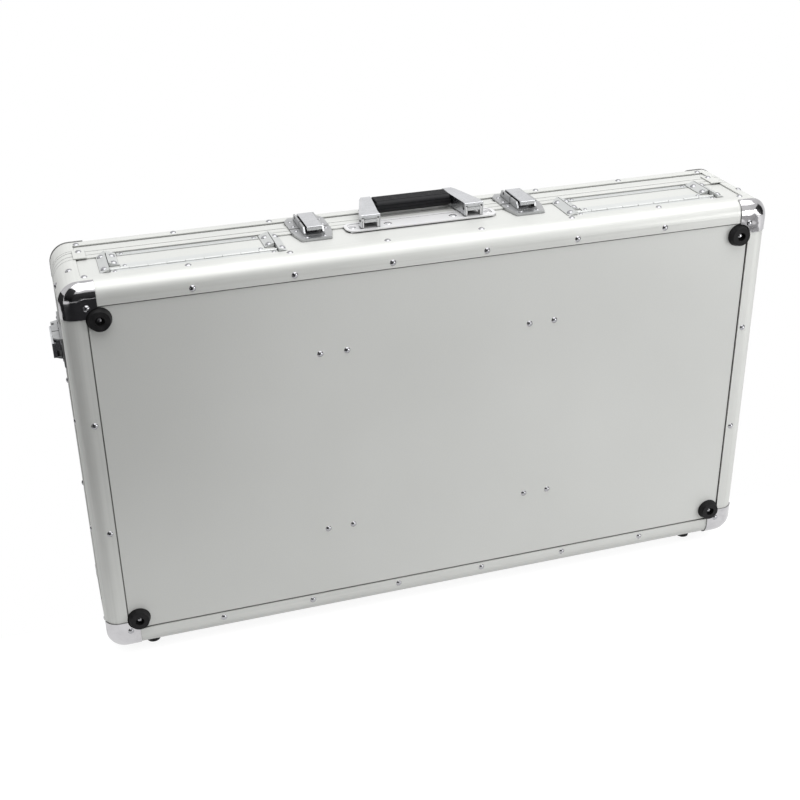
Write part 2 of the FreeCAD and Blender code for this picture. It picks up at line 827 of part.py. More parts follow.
def jamb_spots():
    """Rivets of the four jambs."""
    far = value(JAMB_OUT)
    at = opening + RIDGE_RIVET_SHARE * (far - opening)
    spots = []
    for sign in (-1, 1):
        for centre in FLAP_SIGNS.values():
            spots += moved(slope_spots(sign, opening, far, JAMB_DEPTHS, at), value("%s*flap_centre" % centre))
    return spots


def leaf_spots(across, depth):
    """Rivets near the two ends of a hinge leaf."""
    rise = half_z - value("skin-flap_leaf_thick")
    return [((sign * across, depth, rise), (0, 0, 1)) for sign in (-1, 1)]


def bracket_spots():
    """Pairs of rivets that hold the deck's brackets to the base panel."""
    spots = []
    for side in (-1, 1):
        for end in (-1, 1):
            for x in row(2, value("bracket_rivet_span")):
                spots.append(((side * value("bracket_x") + x, value("skin"), end * value("bracket_z")),
                              (0, -1, 0)))
    return spots


def foot_spots(top):
    """Middles of the four base feet at a depth."""
    return [((side * (half_x - value("foot_inset_x")), top, end * (half_z - value("foot_inset_z"))),
             (0, -1, 0))
            for side in (-1, 1) for end in (-1, 1)]


def rear_spots(depth):
    """Middles of two rear feet's screw seats."""
    low = -half_z - value("rear_foot_height-rear_foot_recess")
    return [((side * value("rear_foot_x"), depth, low), (0, 0, -1)) for side in (-1, 1)]


def both_sides(across, depth):
    """A pair of places either side of a latch's middle."""
    return [(-value(across), value(depth)), (value(across), value(depth))]


STRIKE_RIVETS = (both_sides("latch_rivet_x", "strike_rivet_depth")
                 + both_sides("strike_rivet_x", "strike_rivet_low"))
PLATE_RIVETS = (both_sides("latch_rivet_x", "plate_rivet_low")
                + both_sides("latch_rivet_x", "plate_rivet_high"))
fixed_leaf_rivet_x = value("flap_half-leaf_rivet_inset")
moving_leaf_rivet_x = value("flap_leaf_half-leaf_rivet_inset")
fixed_leaf_middle = value("flap_axis_depth-(fixed_leaf_width+flap_leaf_step)/2")
moving_leaf_middle = value("flap_axis_depth+(flap_leaf_step+flap_leaf_width)/2")

base_small_spots = latch_spots(STRIKE_RIVETS)
for centre in FLAP_SIGNS.values():
    base_small_spots += moved(leaf_spots(fixed_leaf_rivet_x, fixed_leaf_middle),
                              value("%s*flap_centre" % centre))

base_spots = shell_spots() + post_spots() + bracket_spots() + jamb_spots()
base_spots += hinge_spots(value("base_depth-hinge_rivet_reach"))
keep("base_rivets", solid_set(copies(rivet(), base_spots) + copies(small_rivet(), base_small_spots)))
base_rivet_holes = solid_set(copies(rivet_hole(), base_spots + base_small_spots))

clip_spots = []
for side in (-1, 1):
    for end in (-1, 1):
        clip_spots.append(((side * value("clip_x"), value("clip_rivet_depth"),
                            end * (half_z + value("clip_thick"))),
                           (0, 0, end)))
lid_small_spots = latch_spots(PLATE_RIVETS)
lid_spots = turned(shell_spots()) + clip_spots
lid_spots += hinge_spots(value("%s+hinge_rivet_reach" % LID_START))
keep("lid_rivets", solid_set(copies(rivet(), lid_spots) + copies(small_rivet(), lid_small_spots)))
lid_rivet_holes = solid_set(copies(rivet_hole(), lid_spots + lid_small_spots))

foot_floor = value("skin-foot_height+foot_recess_depth")
rear_shank = value("rear_foot_height-rear_foot_recess+rivet_shank")
handle_screw_spots = []
for side in (-1, 1):
    for x in ("handle_screw_near", "handle_screw_far"):
        point = (side * value(x), value("(handle_plate_low+handle_plate_high)/2"),
                 half_z + value("handle_plate_proud-handle_dish"))
        handle_screw_spots.append((point, (0, 0, 1)))

base_foot_spots = foot_spots(foot_floor)
base_rear_spots = rear_spots(value("rear_foot_depth"))
lid_rear_spots = rear_spots(value("case_depth-rear_foot_depth"))
foot_shank = value("screw_shank")
keep("base_foot_screws", solid_set(copies(screw("screw_head", foot_shank), base_foot_spots)
                                   + copies(screw("screw_head", rear_shank), base_rear_spots)))
keep("lid_foot_screws", solid_set(copies(screw("screw_head", rear_shank), lid_rear_spots)))
keep("handle_screws", solid_set(copies(screw("handle_screw", foot_shank), handle_screw_spots)))
base_screw_holes = solid_set(copies(screw_hole(foot_shank), base_foot_spots + handle_screw_spots)
                             + copies(screw_hole(rear_shank), base_rear_spots))
lid_screw_holes = solid_set(copies(screw_hole(rear_shank), lid_rear_spots))
BASE_HOLES = [base_rivet_holes, base_screw_holes]
LID_HOLES = [lid_rivet_holes, lid_screw_holes]

# ---------------------------------------------------------------- panels, edges, posts and caps


def opening_limits(centre, half):
    """A cable opening's limits along X."""
    return ("%s*flap_centre-%s" % (centre, half), "%s*flap_centre+%s" % (centre, half))


WALLS = {"front": ("z", "1"), "rear": ("z", "-1"), "left": ("x", "-1"), "right": ("x", "1")}
PANEL_HOLE = "(%s+skin)" % OPENING
FLAP_SILL = "(flap_axis_depth-flap_leaf_step)"


def build_half(half):
    """Shell pieces of the base or the lid."""
    lid = half == "lid"
    holes = LID_HOLES if lid else BASE_HOLES
    x = "(%s-slot_floor)" % HALF_X
    z = "(%s-slot_floor)" % HALF_Z
    flat = cut(box(("-" + x, x), ("skin", PANEL_INSIDE), ("-" + z, z)),
               corner_boxes("post_reach", "margin", "slot_floor") + face_shadows())
    keep("%s_panel" % half, cut(settle(flat, lid), holes))
    low, high = (LID_WEB, "case_depth-slot_floor") if lid else ("slot_floor", BASE_WEB)
    shadow = ("flange_width", "flange_width+shadow_width")
    if lid:
        shadow = ("case_depth-flange_width-shadow_width", "case_depth-flange_width")
    for name, (wall, sign) in WALLS.items():
        panel = wall_panel(wall, sign, low, high, shadow)
        if name == "front" and not lid:
            gaps = [box(opening_limits(centre, PANEL_HOLE), (FLAP_SILL, "base_depth"), ("0", HALF_Z))
                    for centre in FLAP_SIGNS.values()]
            panel = cut(panel, gaps)
        keep("%s_%s_wall" % (half, name), cut(panel, holes))
    seats = [] if lid else foot_seats()
    long_bars = settle(group([edge_bar("z", sign) for sign in SIDES]), lid)
    short_bars = settle(group([edge_bar("x", sign) for sign in SIDES]), lid)
    keep("%s_long_edges" % half, cut(long_bars, holes + seats))
    keep("%s_short_edges" % half, cut(short_bars, holes + seats + [long_bars]))
    post_depth = "(case_depth-%s-lid_lip-seam_gap)" % LID_START if lid else "(base_depth-base_lip-seam_gap)"
    shell = cut(block("0", post_depth), [block("-post_wall", "%s+margin" % post_depth)])
    corners = common(shell, group(corner_boxes("post_reach", "margin", post_depth)))
    keep("%s_corner_posts" % half, cut(settle(corners, lid), holes))
    cover = cut(block("cap_skin", "2*edge_radius"), [block("0", "2*edge_radius+margin")])
    pressed = common(cover, group(corner_boxes("cap_reach", "2*cap_skin", "cap_return")))
    keep("%s_corner_caps" % half, cut(settle(pressed, lid), holes + seats))


build_half("base")
build_half("lid")

reach = "(%s-corner_radius)" % HALF_X
left_gap = opening_limits("-1", OPENING)
right_gap = opening_limits("1", OPENING)
base_spans = [("-" + reach, left_gap[0]), (left_gap[1], right_gap[0]), (right_gap[1], reach)]
base_closing = keep("base_closing_profile", cut(closing_rails("base", base_spans), BASE_HOLES))
keep("lid_closing_profile", cut(closing_rails("lid", [("-" + reach, reach)]), LID_HOLES))

clips = []
for side in SIDES:
    for end in SIDES:
        across = limits(side, "clip_x-clip_length/2", "clip_x+clip_length/2")
        upward = limits(end, HALF_Z, "%s+clip_thick" % HALF_Z)
        clip = box(across, (LID_START, "clip_high"), upward)
        if end == "1":
            over = limits(end, "%s+clip_play" % HALF_Z, "%s+clip_thick" % HALF_Z)
            clip = fuse([clip, box(across, ("clip_low", LID_START), over)])
        clips.append(clip)
keep("lid_corner_clips", cut(group(clips), LID_HOLES))

# ---------------------------------------------------------------- feet


def foot(radius, tip, tall, recess_radius, recess, centre, way, inward):
    """Rubber foot: a tapered plug with a recess for its screw."""
    plug = cone(radius, tip, tall, centre, way)
    x, y, z = centre
    if way == "-y":
        sunk = cylinder(recess_radius, recess, (x, "%s-%s" % (y, tall), z), inward)
        bore = cylinder("screw_shank_radius+hole_play", tall, (x, "%s-%s" % (y, tall), z), inward)
    else:
        sunk = cylinder(recess_radius, recess, (x, y, "%s-%s" % (z, tall)), inward)
        bore = cylinder("screw_shank_radius+hole_play", tall, (x, y, "%s-%s" % (z, tall)), inward)
    return cut(plug, [sunk, bore])


feet = []
for side in SIDES:
    for end in SIDES:
        centre = ("%s*(%s-foot_inset_x)" % (side, HALF_X), "skin", "%s*(%s-foot_inset_z)" % (end, HALF_Z))
        feet.append(foot("foot_radius", "foot_tip_radius", "foot_height", "foot_recess_radius",
                         "foot_recess_depth", centre, "-y", "y"))
keep("base_feet", group(feet))
for name, depth in (("base_rear_feet", "rear_foot_depth"), ("lid_rear_feet", "case_depth-rear_foot_depth")):
    feet = [foot("rear_foot_radius", "rear_foot_tip_radius", "rear_foot_height", "foot_recess_radius",
                 "rear_foot_recess", ("%s*rear_foot_x" % side, depth, "-" + HALF_Z), "-z",
                 "z") for side in SIDES]
    keep(name, group(feet))

# ---------------------------------------------------------------- cable flaps

PLANE = "(%s-skin)" % HALF_Z
FLAP_BACK = "(%s-flap_thick)" % PLANE
LEDGE = "(%s-flap_rest_gap)" % FLAP_BACK


def flap_x(centre, sign, across):
    """X of a place beside a flap's middle."""
    return "%s*flap_centre+%s*(%s)" % (centre, sign, across)


def strip(centre, sign, points, low, high):
    """Prism along the depth whose outline is given as (across, height) from a flap's middle."""
    return prism("y", [(flap_x(centre, sign, across), height) for across, height in points], low, high)


RIDGE = "(%s+ridge_height)" % HALF_Z
TOE = "(%s+ridge_toe)" % PLANE
jambs = []
for centre in FLAP_SIGNS.values():
    for sign in SIDES:
        ramp = [(OPENING, RIDGE), (JAMB_OUT, TOE), (JAMB_OUT, PLANE), (OPENING, PLANE)]
        channel = [(OPENING, RIDGE), (JAMB_OUT, TOE), (JAMB_OUT, PLANE), (PANEL_HOLE, PLANE),
                   (PANEL_HOLE, "%s-panel_thick" % PLANE), (JAMB_OUT, "%s-panel_thick" % PLANE),
                   (JAMB_OUT, "%s-skin" % LEDGE), ("%s-flap_ledge" % OPENING, "%s-skin" % LEDGE),
                   ("%s-flap_ledge" % OPENING, LEDGE), (OPENING, LEDGE)]
        lower = strip(centre, sign, ramp, "jamb_low", FLAP_SILL)
        upper = strip(centre, sign, channel, FLAP_SILL, "base_depth")
        slope = [(OPENING, "base_depth"), (JAMB_OUT, "jamb_shoulder"), (JAMB_OUT, "base_depth")]
        slope = [(flap_x(centre, sign, across), depth) for across, depth in slope]
        corner = prism("z", slope, PLANE, "%s+margin" % RIDGE)
        jambs.append(cut(fuse([lower, upper]), [corner, base_closing]))
keep("flap_jambs", cut(group(jambs), BASE_HOLES))

LEAF_TOP = "(%s+flap_leaf_thick)" % PLANE
FLAP_AXIS_Z = "(%s+flap_axis_rise)" % HALF_Z


def knuckles(centre, parity, bore):
    """Every other knuckle of a flap hinge with its tab towards the leaf."""
    count = int(value("flap_knuckle_count"))
    pieces = []
    for index in range(parity, count, 2):
        start = "%s*flap_centre-flap_half+%d*2*flap_half/flap_knuckle_count+knuckle_gap/2" % (centre, index)
        length = "2*flap_half/flap_knuckle_count-knuckle_gap"
        pieces.append(cylinder("flap_knuckle_radius", length, (start, "flap_axis_depth", FLAP_AXIS_Z), "x"))
        depth = ("flap_axis_depth-flap_leaf_step", "flap_axis_depth")
        if parity == 1:
            depth = ("flap_axis_depth", "flap_axis_depth+flap_leaf_step")
        pieces.append(box((start, "%s+%s" % (start, length)), depth, (PLANE, LEAF_TOP)))
    hole = cylinder(bore, "2*flap_half", (flap_x(centre, "-1", "flap_half"), "flap_axis_depth", FLAP_AXIS_Z),
                    "x")
    return pieces, hole


fixed_leaves = []
flap_pins = []
for name, centre in FLAP_SIGNS.items():
    pieces, hole = knuckles(centre, 0, "flap_pin_radius")
    across = (flap_x(centre, "-1", "flap_half"), flap_x(centre, "1", "flap_half"))
    plate = box(across, ("flap_axis_depth-fixed_leaf_width", "flap_axis_depth-flap_leaf_step"),
                (PLANE, LEAF_TOP))
    fixed_leaves.append(cut(fuse([plate] + pieces), [hole]))
    start = (across[0], "flap_axis_depth", FLAP_AXIS_Z)
    flap_pins.append(cylinder("flap_pin_radius", "2*flap_half", start, "x"))

    shift = value("%s*flap_centre" % centre)
    far = value("flap_half-stile_width")
    at = value("flap_half") + RIDGE_RIVET_SHARE * (far - value("flap_half"))
    ridge_spots = []
    for sign in (-1, 1):
        ridge_spots += slope_spots(sign, value("flap_half"), far, STILE_DEPTHS, at)
    cap_rivet_y = value("base_depth-flap_top_play-flap_cap_rivet")
    cap_spots = [((sign * moving_leaf_rivet_x, cap_rivet_y, half_z - value("skin-flap_cap_sheet")), (0, 0, 1))
                 for sign in (-1, 1)]
    small_spots = moved(leaf_spots(moving_leaf_rivet_x, moving_leaf_middle) + cap_spots, shift)
    ridge_spots = moved(ridge_spots, shift)
    keep("flap_%s_rivets" % name,
         solid_set(copies(rivet(), ridge_spots) + copies(small_rivet(), small_spots)))
    holes = [solid_set(copies(rivet_hole(), ridge_spots + small_spots))]

    top = "(base_depth-flap_top_play)"
    board = box(across, ("flap_axis_depth+flap_leaf_step", "%s-flap_cap_sheet" % top), (FLAP_BACK, PLANE))
    keep("flap_%s_panel" % name, cut(board, holes))
    stiles = []
    for sign in SIDES:
        wedge = [("flap_half-stile_width", PLANE), ("flap_half-stile_width", TOE), ("flap_half", RIDGE),
                 ("flap_half", PLANE)]
        stiles.append(strip(centre, sign, wedge, "stile_low", top))
    cap_low = "(%s-flap_cap_width)" % top
    section = [(cap_low, "%s+flap_cap_sheet" % PLANE), (top, "%s+flap_cap_sheet" % PLANE),
               (top, "%s-flap_cap_sheet" % FLAP_BACK), (cap_low, "%s-flap_cap_sheet" % FLAP_BACK),
               (cap_low, FLAP_BACK),
               ("%s-flap_cap_sheet" % top, FLAP_BACK), ("%s-flap_cap_sheet" % top, PLANE), (cap_low, PLANE)]
    cap = prism("x", section, flap_x(centre, "-1", "flap_leaf_half"), flap_x(centre, "1", "flap_leaf_half"))
    keep("flap_%s_frame" % name, cut(group(stiles + [cap]), holes))
    pieces, hole = knuckles(centre, 1, "flap_pin_radius+pin_play")
    across = (flap_x(centre, "-1", "flap_leaf_half"), flap_x(centre, "1", "flap_leaf_half"))
    plate = box(across, ("flap_axis_depth+flap_leaf_step", "flap_axis_depth+flap_leaf_width"),
                (PLANE, LEAF_TOP))
    keep("flap_%s_leaf" % name, cut(fuse([plate] + pieces), [hole] + holes))
keep("flap_fixed_leaves", cut(group(fixed_leaves), BASE_HOLES))
keep("flap_hinge_pins", group(flap_pins))

# ---------------------------------------------------------------- latches


def local_box(across, depth, rise):
    """Box in a latch's own frame."""
    return box(across, depth, rise, False)


def local_side(points, near, far):
    """A latch's side plates on both hands, drawn as (depth, rise)."""
    return [prism("x", points, *limits(sign, near, far), False) for sign in SIDES]


EAR = ("ear_inset", "ear_inset+ear_thick")
STRIKE_END = "(-latch_end_gap)"
PLATE_START = "(closing_gap+latch_end_gap)"
BACKED = "(-base_lip-knuckle_gap)"
LEVER_TOP = "(lever_axis_rise+lever_barrel_radius)"
LEVER_UNDER = "(%s-lever_sheet)" % LEVER_TOP
LIP_LOW = "(%s-lever_lip)" % LEVER_TOP
LEVER_FRONT = "(lever_low+lever_sheet)"
strikes = []
plates = []
pins = []
for name, side, offset in LATCHES:
    pieces = []
    for end, low, high in ((STRIKE_END, "0", "latch_sheet"), (BACKED, "-skin", "0")):
        shape = [("-latch_half", end), ("-latch_half", "strike_waist"), ("-strike_tip_half", "strike_low"),
                 ("strike_tip_half", "strike_low"), ("latch_half", "strike_waist"), ("latch_half", end)]
        pieces.append(prism("z", shape, low, high, False))
    ear = [("ear_toe", "0"), ("ear_toe", "ear_toe_rise"), ("ear_toe+ear_toe_run", "ear_rise"),
           (STRIKE_END, "ear_rise"), (STRIKE_END, "0")]
    pieces += local_side(ear, *EAR)
    rim = ("-(%s)" % EAR[1], EAR[1])
    pieces.append(local_box(rim, ("rim_low", "rim_low+rim_width"), ("0", "rim_rise")))
    pieces.append(local_box(("-catch_half", "catch_half"), ("catch_low", "catch_high"), ("0", "catch_rise")))
    strikes.append(mount_latch(fuse(pieces), side, offset))

    shape = [("-latch_half", PLATE_START), ("latch_half", PLATE_START), ("latch_half", "latch_plate_waist"),
             ("latch_top_half", "latch_plate_high"), ("-latch_top_half", "latch_plate_high"),
             ("-latch_half", "latch_plate_waist")]
    ear = [(PLATE_START, "0"), (PLATE_START, "ear_rise"), ("ear_heel", "ear_rise"),
           ("ear_heel+ear_heel_run", "latch_sheet"), ("ear_heel+ear_heel_run", "0")]
    pin_start = ("-(%s+latch_end_gap)" % EAR[1], "lever_axis_depth", "lever_axis_rise")
    pin_length = "2*(%s+latch_end_gap)" % EAR[1]
    pieces = [prism("z", shape, "0", "latch_sheet", False)] + local_side(ear, *EAR)
    plate = cut(fuse(pieces), [cylinder("lever_pin_radius", pin_length, pin_start, "x", False)])
    plates.append(mount_latch(plate, side, offset))
    pins.append(mount_latch(group([cylinder("lever_pin_radius", pin_length, pin_start, "x", False)]), side,
                            offset))

    bar = [("lever_low", LIP_LOW), ("lever_low", LEVER_TOP), ("lever_axis_depth", LEVER_TOP),
           ("lever_axis_depth", LEVER_UNDER), (LEVER_FRONT, LEVER_UNDER), (LEVER_FRONT, LIP_LOW)]
    hood = prism("x", bar, "-lever_half", "lever_half", False)
    front = (value("lever_low"), value(LEVER_TOP))
    rounded(hood, lambda edge: flat_edge(edge, "Y", front[0]) and flat_edge(edge, "Z", front[1]),
            "lever_edge")
    start = ("-lever_half", "lever_axis_depth", "lever_axis_rise")
    cheek = [(LEVER_FRONT, LIP_LOW), ("cheek_low", LIP_LOW), ("cheek_knee", "cheek_base_rise"),
             ("lever_axis_depth", "cheek_base_rise"), ("lever_axis_depth", LEVER_UNDER),
             (LEVER_FRONT, LEVER_UNDER)]
    pieces = [hood, cylinder("lever_barrel_radius", "2*lever_half", start, "x", False)]
    pieces.append(local_box(("-catch_half", "catch_half"), ("claw_high-2*lever_sheet", "claw_high"),
                            ("claw_base_rise", LEVER_UNDER)))
    pieces += local_side(cheek, "lever_half-lever_sheet", "lever_half")
    bore = cylinder("lever_pin_radius+pin_play", "2*lever_half", start, "x", False)
    keep("latch_lever_%s" % name, mount_latch(cut(fuse(pieces), [bore]), side, offset))
keep("latch_strikes", cut(group(strikes), BASE_HOLES))
keep("latch_plates", cut(group(plates), LID_HOLES))
keep("latch_pins", group(pins))

# ---------------------------------------------------------------- handle

plate_top = "(%s+handle_plate_proud)" % HALF_Z
plate_floor = "(%s-handle_dish)" % plate_top
wide = ("-handle_plate_half", "handle_plate_half")
plate = prism("z", rectangle(wide[0], wide[1], "handle_plate_low", "handle_plate_high"), HALF_Z, plate_top)
rounded(plate, lambda edge: along(edge, "z"), "handle_plate_round")
lower = prism("z", rectangle("-handle_plate_half+handle_rim", "handle_plate_half-handle_rim",
                             "handle_plate_low+skin",
                             "base_depth-base_lip-knuckle_gap"), PLANE, HALF_Z)
dish = prism("z", rectangle("-handle_plate_half+handle_rim", "handle_plate_half-handle_rim",
                            "handle_plate_low+handle_rim", "handle_plate_high-handle_rim"),
             plate_floor, "%s+margin" % plate_top)
rounded(dish, lambda edge: along(edge, "z"), "handle_plate_round-handle_rim")
axis_z = "(%s+handle_axis_rise)" % HALF_Z
EAR_OUT = "(arm_outer-arm_wall-lug_play)"
EAR_IN = "(arm_inner+arm_wall+lug_play)"
LUGS = ((EAR_IN, "%s+lug_thick" % EAR_IN), ("%s-lug_thick" % EAR_OUT, EAR_OUT))
lugs = []
pivots = []
pivot_holes = []
for sign in SIDES:
    for near, far in LUGS:
        across = limits(sign, near, far)
        lugs.append(box(across, ("handle_axis_depth-lug_radius", "handle_axis_depth+lug_radius"),
                        (HALF_Z, axis_z)))
        lugs.append(cylinder("lug_radius", "lug_thick", (across[0], "handle_axis_depth", axis_z), "x"))
    across = limits(sign, "arm_inner-handle_dish", "arm_outer+handle_dish")
    start = (across[0], "handle_axis_depth", axis_z)
    length = "arm_outer-arm_inner+2*handle_dish"
    pivots.append(cylinder("handle_pin_radius", length, start, "x"))
    pivot_holes.append(cylinder("handle_pin_radius", length, start, "x"))
keep("handle_plate", cut(fuse([cut(fuse([plate, lower]), [dish])] + lugs), BASE_HOLES + pivot_holes))
keep("handle_pivots", group(pivots))


def arm_outline(sign, wall, start):
    """Arm's plan as (x, depth) points, drawn in by a wall thickness."""
    points = [("arm_inner+%s" % wall, start), ("arm_outer-%s" % wall, start),
              ("arm_outer-%s" % wall, "arm_knee"),
              ("arm_outer_tip-%s" % wall, "arm_bend"),
              ("arm_outer_tip-arm_tip_step-%s" % wall, "arm_high-%s" % wall),
              ("arm_inner_tip+%s" % wall, "arm_high-%s" % wall), ("arm_inner_tip+%s" % wall, "arm_bend"),
              ("arm_inner+%s" % wall, "arm_knee")]
    return [("%s*(%s)" % (sign, x), y) for x, y in points]


rod_z = "(%s+rod_rise)" % HALF_Z
arm_low_z = "(%s+arm_base_rise)" % HALF_Z
arm_top_z = "(%s+arm_top_rise)" % HALF_Z
rod_half = "(arm_inner_tip+2*arm_wall)"
for name, sign in (("left", "-1"), ("right", "1")):
    outside = prism("z", arm_outline(sign, "0", "arm_low"), arm_low_z, arm_top_z)
    rounded(outside, lambda edge: flat_edge(edge, "Z", value(arm_top_z)), "arm_wall/2")
    inside = prism("z", arm_outline(sign, "arm_wall", "arm_low+arm_wall"), "%s-margin" % arm_low_z,
                   "%s-arm_wall" % arm_top_z)
    lip_depth = ("arm_low-margin", "arm_low+arm_wall+margin")
    openings = [box(limits(sign, "arm_inner+arm_wall", "arm_outer-arm_wall"), lip_depth,
                    ("%s-margin" % arm_low_z, "%s+arm_lip_rise" % HALF_Z))]
    for near, far in LUGS:
        openings.append(box(limits(sign, "%s-lug_play" % near, "%s+lug_play" % far), lip_depth,
                            ("%s-margin" % arm_low_z, "%s+lug_radius+lug_play" % axis_z)))
    openings.append(box(limits(sign, "arm_inner+arm_wall", "arm_outer-arm_wall"),
                        ("arm_low-margin", "arm_low+arm_line_depth"),
                        ("%s+arm_line_rise" % HALF_Z, "%s+arm_line_rise+arm_line_height" % HALF_Z)))
    across = limits(sign, "arm_inner-margin", "arm_outer+margin")
    start = (across[0], "handle_axis_depth", axis_z)
    bore = cylinder("handle_pin_radius+pin_play", "arm_outer-arm_inner+2*margin", start, "x")
    rod_hole = cylinder("rod_radius", "2*" + rod_half, ("-" + rod_half, "rod_depth", rod_z), "x")
    keep("handle_arm_%s" % name, cut(outside, [inside, bore, rod_hole] + openings))
rod = cylinder("rod_radius", "2*" + rod_half, ("-" + rod_half, "rod_depth", rod_z), "x")
keep("handle_rod", rod)
grip_z = ("(%s+grip_base_rise)" % HALF_Z, "(%s+grip_top_rise)" % HALF_Z)
grip = prism("x", rectangle("grip_low", "grip_high", grip_z[0], grip_z[1]), "-grip_half", "grip_half")
rounded(grip, lambda edge: along(edge, "x"), "grip_round")
TOP_RIBS = 5
SIDE_RIBS = 2
ribs = [cylinder("rod_radius", "2*grip_half", ("-grip_half", "rod_depth", rod_z), "x")]
for index in range(TOP_RIBS):
    depth = "grip_low+grip_round+(%s)*%d/%d" % ("grip_high-grip_low-2*grip_round", index, TOP_RIBS - 1)
    ribs.append(cylinder("grip_rib_radius", "2*grip_half", ("-grip_half", depth, grip_z[1]), "x"))
for index in range(SIDE_RIBS):
    rise = "%s+grip_round+(grip_top_rise-grip_base_rise-2*grip_round)*%d" % (grip_z[0], index)
    for depth in ("grip_low", "grip_high"):
        ribs.append(cylinder("grip_rib_radius", "2*grip_half", ("-grip_half", depth, rise), "x"))
keep("handle_grip", cut(grip, ribs))

# ---------------------------------------------------------------- lid hinges

HINGE_Y = "(base_depth+closing_gap/2)"
HINGE_Z = "(-%s-hinge_radius-hinge_clear)" % HALF_Z
base_leaves = []
lid_leaves = []
hinge_pins = []
for centre in SIDES:
    start_x = "%s*hinge_x-hinge_length/2" % centre
    start = (start_x, HINGE_Y, HINGE_Z)
    hinge_pins.append(cylinder("hinge_pin_radius", "hinge_length", start, "x"))
    for parity, leaves in ((0, base_leaves), (1, lid_leaves)):
        toward = -1 if parity == 0 else 1
        near = "hinge_radius+hinge_clear"
        if parity == 0:
            inner = ("%s-(%s)" % (HINGE_Y, near), HINGE_Y)
            outer = ("base_depth-hinge_leaf_reach", inner[0])
        else:
            inner = (HINGE_Y, "%s+%s" % (HINGE_Y, near))
            outer = (inner[1], "%s+hinge_leaf_reach" % LID_START)
        across = (start_x, "%s+hinge_length" % start_x)
        pieces = [box(across, outer, ("-%s-hinge_leaf_thick" % HALF_Z, "-" + HALF_Z))]
        backed = ("base_depth-hinge_leaf_reach", "base_depth-base_lip-knuckle_gap")
        if parity == 1:
            backed = ("%s+lid_lip+knuckle_gap" % LID_START, "%s+hinge_leaf_reach" % LID_START)
        pieces.append(box(across, backed, ("-" + HALF_Z, "-" + PLANE)))
        for index in range(parity, int(value("hinge_knuckle_count")), 2):
            first = "%s+%d*hinge_length/hinge_knuckle_count+knuckle_gap/2" % (start_x, index)
            length = "hinge_length/hinge_knuckle_count-knuckle_gap"
            pieces.append(cylinder("hinge_radius", length, (first, HINGE_Y, HINGE_Z), "x"))
            pieces.append(box((first, "%s+%s" % (first, length)), inner,
                              ("-%s-2*hinge_clear-hinge_leaf_thick" % HALF_Z, "-%s-hinge_clear" % HALF_Z)))
        play = "0" if parity == 0 else "pin_play"
        bore = cylinder("hinge_pin_radius+%s" % play, "hinge_length", start, "x")
        leaves.append(cut(fuse(pieces), [bore]))
keep("hinge_base_leaves", cut(group(base_leaves), BASE_HOLES))
keep("hinge_lid_leaves", cut(group(lid_leaves), LID_HOLES))
keep("hinge_pins", group(hinge_pins))

# ---------------------------------------------------------------- inside

x = "(%s-deck_gap)" % HALF_X
z = "(%s-deck_gap)" % HALF_Z
keep("pedal_deck", box(("-" + x, x), ("deck_low", "deck_low+deck_thick"), ("-" + z, z)))
x = "(%s-2*deck_gap)" % HALF_X
z = "(%s-2*deck_gap)" % HALF_Z
keep("deck_loop_cover", box(("-" + x, x), ("deck_low+deck_thick", "deck_low+deck_thick+loop_thick"),
                            ("-" + z, z)))
brackets = []
for side in SIDES:
    for end in SIDES:
        half = "bracket_length/2"
        inner = "bracket_top_half-bracket_sheet"
        sheet_top = "%s+bracket_sheet" % PANEL_INSIDE
        hat = [("-" + half, PANEL_INSIDE),
               ("-(%s)" % inner, PANEL_INSIDE),
               ("-(%s)" % inner, "deck_low-bracket_sheet"),
               (inner, "deck_low-bracket_sheet"),
               (inner, PANEL_INSIDE),
               (half, PANEL_INSIDE),
               (half, sheet_top),
               ("bracket_top_half", sheet_top),
               ("bracket_top_half", "deck_low"),
               ("-bracket_top_half", "deck_low"),
               ("-bracket_top_half", sheet_top),
               ("-" + half, sheet_top)]
        hat = [("%s*bracket_x+(%s)" % (side, across), depth) for across, depth in hat]
        brackets.append(prism("z", hat, "%s*bracket_z-bracket_width/2" % end,
                              "%s*bracket_z+bracket_width/2" % end))
keep("deck_brackets", cut(group(brackets), BASE_HOLES))
x = "(%s-foam_gap)" % HALF_X
z = "(%s-foam_gap)" % HALF_Z
inside_face = "(case_depth-%s)" % RAIL_INSIDE
foam = prism("y", rectangle("-" + x, x, "-" + z, z), "%s-foam_thick" % inside_face, inside_face)
keep("lid_foam", rounded(foam, lambda edge: along(edge, "y"), "corner_radius"))

# ---------------------------------------------------------------- check and write

doc.recompute()
for item in doc.Objects:
    if "Invalid" in item.State or "Error" in item.State:
        raise RuntimeError("%s (%s) failed: %s" % (item.Name, item.Label, item.State))
for name, item in parts.items():
    if item.Shape.isNull() or not item.Shape.isValid() or item.Shape.Volume <= 0:
        raise RuntimeError("%s has no valid shape" % name)
os.makedirs("parts", exist_ok=True)
for name, item in parts.items():
    item.Shape.exportStep(os.path.join("parts", name + ".step"))
    print("%-26s %3d solids %12.1f mm3" % (name, len(item.Shape.Solids), item.Shape.Volume))
print(len(parts), "sub-parts")
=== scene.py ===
import math

import bmesh
import bpy
from mathutils import Matrix, Vector


